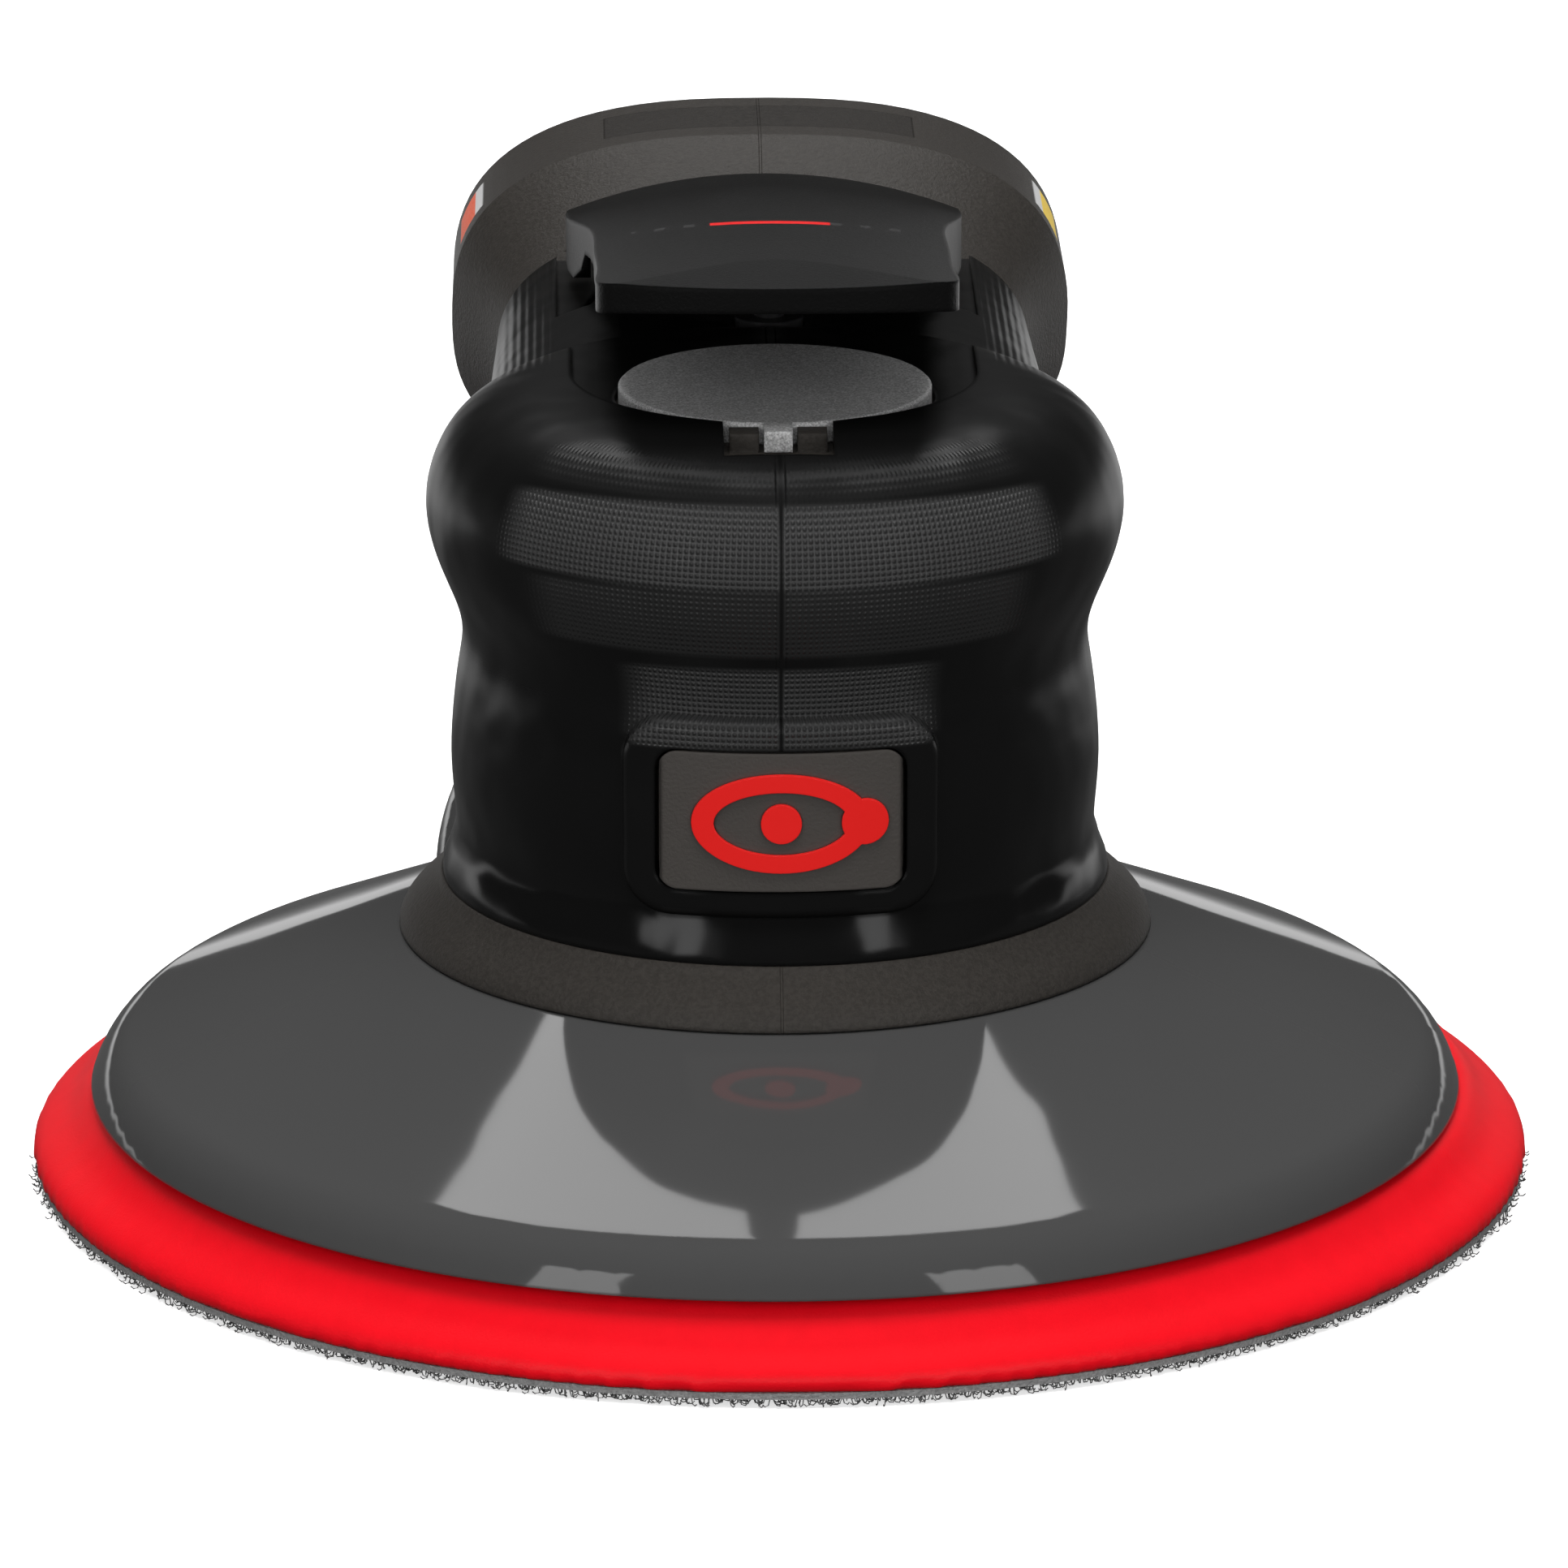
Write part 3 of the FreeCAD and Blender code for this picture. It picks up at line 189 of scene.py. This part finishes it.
def housing_composite():
    """Grained dark composite with a fine mould seam, a blank sunk panel and two plain label patches."""
    n = Nodes("housing_composite")
    grain = n.noise(2.2, 3.0, 0.7)
    seam = n.math("MULTIPLY", n.band(n.x, -0.08, 0.08, 0.10), -0.10)
    panel_x = n.band(n.x, -PANEL_HALF_X_MM, PANEL_HALF_X_MM, 0.25)
    panel_y = n.band(n.y, *PANEL_Y_MM, 0.25)
    panel_z = n.ramp(n.z, 80.0, 80.5)
    panel = n.math("MULTIPLY", n.math("MULTIPLY", panel_x, panel_y), panel_z)
    height = n.math("ADD", n.math("MULTIPLY", grain, 0.11), seam)
    height = n.math("ADD", height, n.math("MULTIPLY", panel, -0.3))
    speckle = n.math("MULTIPLY", n.ramp(grain, 0.35, 0.65), 0.45)
    shade = n.math("ADD", speckle, n.math("MULTIPLY", panel, 0.5))
    color = n.mix(shade, (0.040, 0.036, 0.032, 1), (0.018, 0.016, 0.014, 1))
    color = side_labels(n, color)
    return n.finish(color, 0.5, height_mm=height, edge_mm=0.5, specular=0.3)


def side_labels(n, color):
    """Plain colour patches on the shoulders of the flared end, where labels would be stuck."""
    shoulder = n.math("MULTIPLY", n.band(n.y, *LABEL_Y_MM, 0.2), n.band(n.z, *LABEL_Z_MM, 0.2))
    for side, accent in LABEL_ACCENTS:
        outward = n.math("MULTIPLY", n.x, side)
        patch = n.math("MULTIPLY", shoulder, n.ramp(outward, LABEL_X_MM, LABEL_X_MM + 0.3))
        corner = n.math("MULTIPLY", patch, n.ramp(n.z, 76.0, 76.2, 1.0, 0.0))
        color = n.mix(patch, color, grey(0.55))
        color = n.mix(corner, color, accent)
    return color


GRID_PITCH_MM = 0.56
GRID_RADIUS_MM = 33.0            # turns an angle round the head into a length
RIB_PITCH_MM = 0.85
GRIP_BANDS = (                   # dotted bands, painted a lighter grey as a painted sheen: from Z, to Z in mm, half angle in radians, strength (of the dots and of the painted sheen)
    (54.0, 60.6, 0.46, 1.0),
    (63.2, 69.2, 0.75, 0.4),
    (70.4, 77.0, 0.86, 1.0),
    (78.4, 80.6, 0.86, 0.12),
)


def grip_rubber():
    """Black rubber: fine dotted bands round the head, their lighter grey partly their paler matte look and
    partly a painted sheen, smooth ridges between them, ribs on the neck.
    """
    n = Nodes("grip_rubber")
    angle = n.math("ARCTAN2", n.x, n.math("MULTIPLY", n.y, -1.0))
    around = n.math("MULTIPLY", angle, GRID_RADIUS_MM)
    turn = 2 * math.pi / GRID_PITCH_MM
    wave_u = n.math("COSINE", n.math("MULTIPLY", around, turn))
    wave_v = n.math("COSINE", n.math("MULTIPLY", n.z, turn))
    dots = n.math("MULTIPLY", n.math("ADD", wave_u, 1.0), n.math("ADD", wave_v, 1.0))

    wide = n.math("ABSOLUTE", angle)
    sag = n.math("MULTIPLY", n.math("MULTIPLY", wide, wide), 1.2)
    level = n.math("ADD", n.z, sag)
    bands = 0.0
    for low, high, end, strength in GRIP_BANDS:
        above = n.ramp(n.z, low - 1.0, low)
        below = n.ramp(level, high, high + 1.0, 1.0, 0.0)
        inside = n.ramp(wide, end - 0.08, end + 0.08, strength, 0.0)
        bands = n.math("ADD", bands, n.math("MULTIPLY", n.math("MULTIPLY", above, below), inside))
    off_seam = n.ramp(n.math("ABSOLUTE", n.x), 0.05, 0.35)
    head = n.ramp(n.y, 2.0, 6.0, 1.0, 0.0)
    dotted_and_sheen = n.math("MULTIPLY", bands, n.math("MULTIPLY", off_seam, head))

    ribs = n.math("COSINE", n.math("MULTIPLY", n.x, 2 * math.pi / RIB_PITCH_MM))
    neck = n.math("MULTIPLY", n.ramp(n.y, 6.0, 12.0), n.ramp(n.math("ABSOLUTE", n.x), 22.0, 22.6))
    neck = n.math("MULTIPLY", neck, n.ramp(n.z, 58.0, 61.0))
    seam = n.band(n.x, -0.35, 0.35, 0.25)
    seam = n.math("MULTIPLY", seam, n.ramp(n.z, 53.5, 55.5))
    height = n.math("MULTIPLY", n.math("MULTIPLY", dots, dotted_and_sheen), 0.06)
    height = n.math("ADD", height, n.math("MULTIPLY", dotted_and_sheen, -0.09))
    height = n.math("ADD", height, n.math("MULTIPLY", n.math("MULTIPLY", ribs, neck), 0.03))
    height = n.math("ADD", height, n.math("MULTIPLY", seam, 0.15))
    height = n.math("ADD", height, n.math("MULTIPLY", n.noise(0.12, 1.0), 0.5))
    rough = n.math("ADD", n.ramp(n.z, 33.0, 46.0, 0.13, 0.22), n.ramp(n.z, 52.0, 60.0, 0.0, 0.12))
    rough = n.math("ADD", rough, n.math("MULTIPLY", dotted_and_sheen, 0.10))
    specular = n.math("ADD", n.math("MULTIPLY", dotted_and_sheen, 0.55), 0.28)
    # painted sheen: the lighter grey of the dotted bands is partly their paler matte look and partly a
    # painted stand-in for their soft highlight
    color = n.mix(dotted_and_sheen, grey(0.0045), grey(0.034))
    return n.finish(color, rough, height_mm=height, edge_mm=0.7, specular=specular)


def lever_black():
    """Fine-grained black with a plain red bar and a row of pale dashes."""
    n = Nodes("lever_black")
    grain = n.noise(3.2, 2.0, 0.6)
    mark_y = n.band(n.y, 26.6, 28.6, 0.15)
    red = n.math("MULTIPLY", mark_y, n.band(n.x, -6.0, 6.0, 0.2))
    dash = n.ramp(n.math("SINE", n.math("MULTIPLY", n.x, 2.1)), 0.2, 0.5)
    pale = n.math("MULTIPLY", n.band(n.x, -14.0, 14.0, 0.2), n.math("MULTIPLY", mark_y, dash))
    color = n.mix(n.math("MULTIPLY", pale, 0.35), grey(0.005), grey(0.08))
    color = n.mix(red, color, (0.75, 0.012, 0.012, 1))
    return n.finish(color, 0.36, height_mm=n.math("MULTIPLY", grain, 0.06), edge_mm=0.7, specular=0.11)


def shroud_grey():
    n = Nodes("shroud_grey")
    return n.finish(grey(0.061), 0.05, height_mm=n.math("MULTIPLY", n.noise(0.05, 1.0), 0.15), edge_mm=0.4)


def cap_metal():
    n = Nodes("cap_metal")
    flake = n.ramp(n.noise(5.0, 3.0, 0.8), 0.35, 0.68)
    color = n.mix(flake, grey(0.28), grey(0.75))
    height = n.math("MULTIPLY", n.noise(4.0, 2.0, 0.7), 0.06)
    return n.finish(color, 0.55, metallic=0.25, height_mm=height, edge_mm=0.3)


def emblem_red():
    n = Nodes("emblem_red")
    return n.finish((0.87, 0.012, 0.010, 1), 0.32, edge_mm=0.15)


def pad_red_foam():
    """Red foam that varies slightly from place to place."""
    n = Nodes("pad_red_foam")
    soft = n.noise(0.35, 2.0)
    color = n.mix(soft, (0.88, 0.003, 0.012, 1), (0.79, 0.002, 0.009, 1))
    fine = n.math("MULTIPLY", n.noise(4.0, 2.0), 0.03)
    return n.finish(color, 0.4, height_mm=fine, specular=0.2)


def hook_grey():
    n = Nodes("hook_grey")
    color = n.mix(n.noise(1.8, 2.0), grey(0.035), grey(0.16))
    return n.finish(color, 0.55)


def felt_edge():
    n = Nodes("felt_edge")
    color = n.mix(n.noise(3.0, 2.0), grey(0.38), grey(0.16))
    return n.finish(color, 0.9, height_mm=n.math("MULTIPLY", n.noise(3.0), 0.2))


def plain(name, color, roughness, metallic=0.0, grain_mm=0.0, waves=3.0, edge_mm=0.2):
    """Simple finish with fine grain, for the smaller and the hidden pieces."""
    n = Nodes(name)
    height = n.math("MULTIPLY", n.noise(waves, 2.0), grain_mm)
    return n.finish((*color, 1), roughness, metallic=metallic, height_mm=height, edge_mm=edge_mm)


def turned_steel():
    """Steel with fine turning lines along its axis."""
    n = Nodes("steel")
    lines = n.math("SINE", n.math("MULTIPLY", n.z, 22.0))
    height = n.math("MULTIPLY", n.math("MULTIPLY", lines, n.noise(1.2)), 0.008)
    return n.finish((0.52, 0.52, 0.53, 1), 0.32, metallic=1.0, height_mm=height, edge_mm=0.25)


def materials_by_slot():
    return {
        "housing_composite": housing_composite(),
        "badge_composite": plain("badge_composite", (0.060, 0.054, 0.049), 0.55, 0.0, 0.05, edge_mm=0.3),
        "grip_rubber": grip_rubber(),
        "emblem_red": emblem_red(),
        "cap_metal": cap_metal(),
        "lever_black": lever_black(),
        "shroud_grey": shroud_grey(),
        "steel": turned_steel(),
        "aluminium": plain("aluminium", (0.66, 0.67, 0.69), 0.36, 1.0, 0.01),
        "brass": plain("brass", (0.72, 0.52, 0.22), 0.3, 1.0, 0.01),
        "seal_rubber": plain("seal_rubber", (0.012, 0.012, 0.012), 0.5, 0.0, 0.01),
        "felt": plain("felt", (0.42, 0.40, 0.36), 0.95, 0.0, 0.25, 1.5),
        "vane_phenolic": plain("vane_phenolic", (0.20, 0.09, 0.03), 0.5, 0.0, 0.02),
        "pad_red_foam": pad_red_foam(),
        "pad_plate": plain("pad_plate", (0.02, 0.02, 0.021), 0.5, 0.0, 0.03),
        "hook_grey": hook_grey(),
        "fitting_black": plain("fitting_black", (0.016, 0.016, 0.017), 0.42, 0.0, 0.02, edge_mm=0.4),
    }


def paint(piece, material):
    if not piece.material_slots:
        piece.data.materials.append(material)
    for slot in piece.material_slots:
        slot.material = material


# --- pieces made here ---------------------------------------------------------------------------------
def new_piece(name, mesh_maker, material, body):
    mesh = bpy.data.meshes.new(name)
    bm = bmesh.new()
    mesh_maker(bm)
    bmesh.ops.recalc_face_normals(bm, faces=bm.faces)
    bm.to_mesh(mesh)
    bm.free()
    piece = bpy.data.objects.new(name, mesh)
    bpy.context.scene.collection.objects.link(piece)
    paint(piece, material)
    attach(piece, body)
    return piece


def soft_foam(material):
    """The pad's foam with soft edges, from a remeshed copy of the CAD solid."""
    source = frame["nodes"]["pad_foam"]
    piece = bpy.data.objects.new("pad_foam_soft", source.data.copy())
    bpy.context.scene.collection.objects.link(piece)
    remesh = piece.modifiers.new("even", "REMESH")
    remesh.mode = "VOXEL"
    remesh.voxel_size = FOAM_VOXEL
    relax = piece.modifiers.new("soft", "SMOOTH")
    relax.iterations = 3
    relax.factor = 0.5
    apply_modifiers(piece)
    for polygon in piece.data.polygons:
        polygon.use_smooth = True
    paint(piece, material)
    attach(piece, "pad")
    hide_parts("pad_foam")
    return piece


def apply_modifiers(piece):
    graph = bpy.context.evaluated_depsgraph_get()
    mesh = bpy.data.meshes.new_from_object(piece.evaluated_get(graph))
    piece.modifiers.clear()
    piece.data = mesh


def tube(bm, points, radius):
    """Three-sided closed tube through points."""
    rings = []
    for i, point in enumerate(points):
        ahead = points[min(i + 1, len(points) - 1)] - points[max(i - 1, 0)]
        side = ahead.orthogonal().normalized()
        other = ahead.cross(side).normalized()
        ring = []
        for k in range(3):
            a = 2 * math.pi * k / 3
            ring.append(bm.verts.new(point + radius * (math.cos(a) * side + math.sin(a) * other)))
        rings.append(ring)
    for low, high in zip(rings, rings[1:]):
        for k in range(3):
            bm.faces.new((low[k], low[(k + 1) % 3], high[(k + 1) % 3], high[k]))
    bm.faces.new(reversed(rings[0]))
    bm.faces.new(rings[-1])


def hook(bm, x, y, top, reach, rng):
    """One curled fibre that hangs from the felt and bends back up."""
    heading = rng.uniform(0, 2 * math.pi)
    side = Vector((math.cos(heading), math.sin(heading), 0))
    depth = top * rng.uniform(0.75, 0.98)
    points = []
    for share in (0.0, 0.35, 0.7, 1.0):
        curl = math.pi * 0.9 * share
        drop = depth * math.sin(min(curl, math.pi / 2))
        rise = depth * 0.45 * max(0.0, share - 0.6) / 0.4
        points.append(Vector((x, y, top - drop + rise)) + side * (reach * (1 - math.cos(curl)) / 2))
    tube(bm, points, HOOK_RADIUS)


def hook_field(material, felt):
    """Felt backing and the mat of hooks under it."""
    low, high = [Vector(corner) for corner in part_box("hook_face")]
    centre = (low + high) / 2
    outer = (high[0] - low[0]) / 2
    felt_bottom = high[2] - FELT_SHARE * (high[2] - low[2])
    root = felt_bottom + HOOK_ROOT
    source = frame["nodes"]["hook_face"]

    backing = bpy.data.objects.new("hook_backing", source.data.copy())
    bpy.context.scene.collection.objects.link(backing)
    for vertex in backing.data.vertices:
        if vertex.co.z < felt_bottom:
            vertex.co.z = felt_bottom
    paint(backing, felt)
    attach(backing, "pad")

    rng = random.Random(SEED)

    def clear(x, y):
        r = math.hypot(x, y)
        if not CENTRE_HOLE < r < outer - 0.3 * MM:
            return False
        for pitch, count, hole in DUST_HOLES:
            step = 2 * math.pi / count
            a = math.atan2(y, x) % step - step / 2
            if math.hypot(r * math.cos(a) - pitch, r * math.sin(a)) < hole + 0.4 * MM:
                return False
        return True

    def build(bm):
        count = int(outer / HOOK_PITCH) + 1
        for i in range(-count, count + 1):
            for j in range(-count, count + 1):
                x = (i + 0.5 * (j % 2) + rng.uniform(-0.3, 0.3)) * HOOK_PITCH
                y = (j * 0.87 + rng.uniform(-0.3, 0.3)) * HOOK_PITCH
                if clear(x, y):
                    hook(bm, centre.x + x, centre.y + y, root, HOOK_REACH, rng)
        for ring_index in range(EDGE_RINGS):
            radius = outer - (EDGE_INSET_MM + EDGE_STEP_MM * ring_index) * MM
            number = int(2 * math.pi * radius / EDGE_PITCH)
            for k in range(number):
                a = 2 * math.pi * (k + rng.uniform(-0.4, 0.4)) / number
                r = radius + rng.uniform(-0.2, 0.45) * MM
                x, y = r * math.cos(a), r * math.sin(a)
                hook(bm, centre.x + x, centre.y + y, root, EDGE_REACH, rng)

    hooks = new_piece("hook_fibres", build, material, "pad")
    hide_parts("hook_face")
    return hooks


# --- stage --------------------------------------------------------------------------------------------
AMBIENT = 0.30                   # world level for diffuse light
AMBIENT_IN_GLOSS = 0.05          # world level seen in reflections: the studio round the lamps is dark
FLOOR_GLOW = 0.62                # keeps the floor white to the camera
FLOOR_FRONT = 0.10               # floor brightness that the tool itself sees
FLOOR_BEHIND = 0.95
FLOOR_HALF = 3.0
FLOOR_DROP = 0.2 * MM            # from the lowest hooks to the floor


def stage():
    """World and floor."""
    world = bpy.data.worlds.new("studio")
    world.use_nodes = True
    tree = world.node_tree
    background = tree.nodes["Background"]
    background.inputs["Color"].default_value = grey(1.0)
    path = tree.nodes.new("ShaderNodeLightPath")
    level = AMBIENT
    for ray, strength in (("Is Glossy Ray", AMBIENT_IN_GLOSS), ("Is Camera Ray", 1.0)):
        choose = tree.nodes.new("ShaderNodeMix")
        choose.inputs["B"].default_value = strength
        if isinstance(level, float):
            choose.inputs["A"].default_value = level
        else:
            tree.links.new(level, choose.inputs["A"])
        tree.links.new(path.outputs[ray], choose.inputs["Factor"])
        level = choose.outputs["Result"]
    tree.links.new(level, background.inputs["Strength"])
    bpy.context.scene.world = world

    mesh = bpy.data.meshes.new("floor")
    bm = bmesh.new()
    bmesh.ops.create_grid(bm, x_segments=1, y_segments=1, size=FLOOR_HALF)
    bm.to_mesh(mesh)
    bm.free()
    floor = bpy.data.objects.new("floor", mesh)
    bpy.context.scene.collection.objects.link(floor)
    paint(floor, floor_white())
    floor.location.z = -FLOOR_DROP


def floor_white():
    """White to the camera; to the tool it is a dark foreground that turns into a bright sweep behind."""
    n = Nodes("floor_white")
    new, link = n.tree.nodes.new, n.tree.links.new
    seen = new("ShaderNodeBsdfPrincipled")
    seen.inputs["Base Color"].default_value = grey(0.8)
    seen.inputs["Roughness"].default_value = 0.9
    seen.inputs["Specular IOR Level"].default_value = 0.0
    seen.inputs["Emission Color"].default_value = grey(1.0)
    seen.inputs["Emission Strength"].default_value = FLOOR_GLOW
    sweep = new("ShaderNodeEmission")
    n.put(n.ramp(n.y, 130.0, 330.0, FLOOR_FRONT, FLOOR_BEHIND), sweep.inputs["Strength"])
    choose = new("ShaderNodeMixShader")
    link(new("ShaderNodeLightPath").outputs["Is Camera Ray"], choose.inputs[0])
    link(sweep.outputs[0], choose.inputs[1])
    link(seen.outputs[0], choose.inputs[2])
    link(choose.outputs[0], n.output.inputs[0])
    return n.material


def softbox(name, place, aim, width, height, power):
    light = bpy.data.lights.new(name, "AREA")
    light.shape = "RECTANGLE"
    light.size = width
    light.size_y = height
    light.energy = power
    lamp = bpy.data.objects.new(name, light)
    lamp.location = place
    lamp.rotation_euler = (Vector(aim) - Vector(place)).to_track_quat("-Z", "Y").to_euler()
    bpy.context.scene.collection.objects.link(lamp)
    return lamp


def lights():
    """Overhead and front boxes that the shroud mirrors; rim and fill lamps show in no reflection."""
    middle = (0.0, 0.0, 0.05)
    for side, name in ((-1, "left"), (1, "right")):
        below = (side * 0.193, 0.0, 0.05)
        softbox(f"overhead_{name}", (side * 0.193, 0.58, 1.05), below, 0.325, 0.62, 2.5)
        softbox(f"front_{name}", (side * 0.75, -1.1, 0.55), middle, 0.35, 0.7, 2.2)
        rim = softbox(f"rim_{name}", (side * 0.6, 1.2, 0.32), middle, 0.35, 0.6, 2.5)
        rim.visible_glossy = False
    top_fill = softbox("top_fill", (0.0, -0.35, 1.3), middle, 0.9, 0.6, 12.0)
    front_fill = softbox("front_fill", (0.0, -1.25, 0.22), middle, 0.9, 0.6, 5.0)
    for fill in (top_fill, front_fill):
        fill.visible_glossy = False


def camera():
    data = bpy.data.cameras.new("camera")
    data.sensor_width = SENSOR_WIDTH
    data.lens = CAMERA_LENS
    eye = bpy.data.objects.new("camera", data)
    flat = math.cos(CAMERA_ELEVATION)
    across = math.sin(CAMERA_AZIMUTH) * flat
    ahead = math.cos(CAMERA_AZIMUTH) * flat
    back = Vector((across, -ahead, math.sin(CAMERA_ELEVATION)))
    eye.location = CAMERA_TARGET + CAMERA_DISTANCE * back
    eye.rotation_euler = (-back).to_track_quat("-Z", "Y").to_euler()
    bpy.context.scene.collection.objects.link(eye)
    bpy.context.scene.camera = eye


def main():
    slots = materials_by_slot()
    for part in frame["record"]["subparts"]:
        paint(frame["nodes"][part["node"]], slots[part["material_slot"]])
    soft_foam(slots["pad_red_foam"])
    hook_field(slots["hook_grey"], felt_edge())
    stage()
    lights()
    camera()
    bpy.context.scene.view_settings.view_transform = "Standard"


main()
